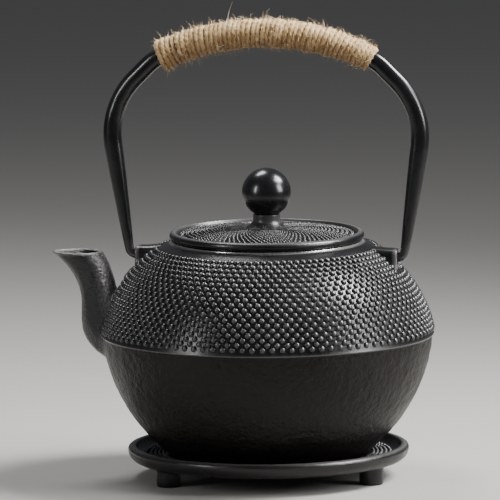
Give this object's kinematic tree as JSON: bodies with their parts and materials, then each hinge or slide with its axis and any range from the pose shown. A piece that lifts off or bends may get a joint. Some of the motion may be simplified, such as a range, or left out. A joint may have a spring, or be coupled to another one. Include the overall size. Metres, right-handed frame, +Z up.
{
  "type": "cast iron teapot",
  "caption": "Round cast iron teapot with hobnail shoulder, ball-knob lid, lift-out strainer and twine-wrapped bail handle, on a footed trivet.",
  "frame": {"origin": "on the pot's vertical axis at the level of the table it stands on", "axes": "+Z up; -X towards the spout; the handle's hinge runs along X and the upright handle stands in the XZ plane"},
  "size_m": [0.1914, 0.1656, 0.2294],
  "materials": {
    "cast_iron_black": "satin, hobnailed and cast",
    "cast_iron_trivet": "satin, cast",
    "knob_iron": "smooth gloss enamel",
    "handle_iron": "semi-gloss black",
    "twine": "rough jute",
    "steel": "satin"
  },
  "bodies": {
    "stand": {"trivet_plate": "cast_iron_trivet", "trivet_foot_left": "cast_iron_trivet", "trivet_foot_right": "cast_iron_trivet", "trivet_foot_back": "cast_iron_trivet"},
    "pot": {"pot_body": "cast_iron_black", "spout": "cast_iron_black", "lug_spout_side": "cast_iron_black", "lug_back_side": "cast_iron_black"},
    "lid": {"lid": "cast_iron_black", "knob": "knob_iron", "knob_stud": "steel", "knob_washer": "steel", "knob_nut": "steel"},
    "strainer": {"strainer_rim": "steel", "strainer_wall": "steel", "strainer_base": "steel"},
    "handle": {"handle_bar": "handle_iron", "handle_wrap": "twine"}
  },
  "joints": [
    {"name": "pot_lift", "type": "slide", "parent": "stand", "child": "pot", "axis": [0, 0, 1], "range_m": [0, 0.12]},
    {"name": "lid_lift", "type": "slide", "parent": "pot", "child": "lid", "axis": [0, 0, 1], "range_m": [0, 0.05]},
    {"name": "strainer_lift", "type": "slide", "parent": "pot", "child": "strainer", "axis": [0, 0, 1], "range_m": [0, 0.0225]},
    {"name": "handle_swing", "type": "hinge", "parent": "pot", "child": "handle", "pos_m": [0, 0, 0.111], "axis": [1, 0, 0], "range_deg": [-112, 112]}
  ],
  "couplings": [
    {"joint": "strainer_lift", "follows": "lid_lift", "ratio": 0.45}
  ]
}
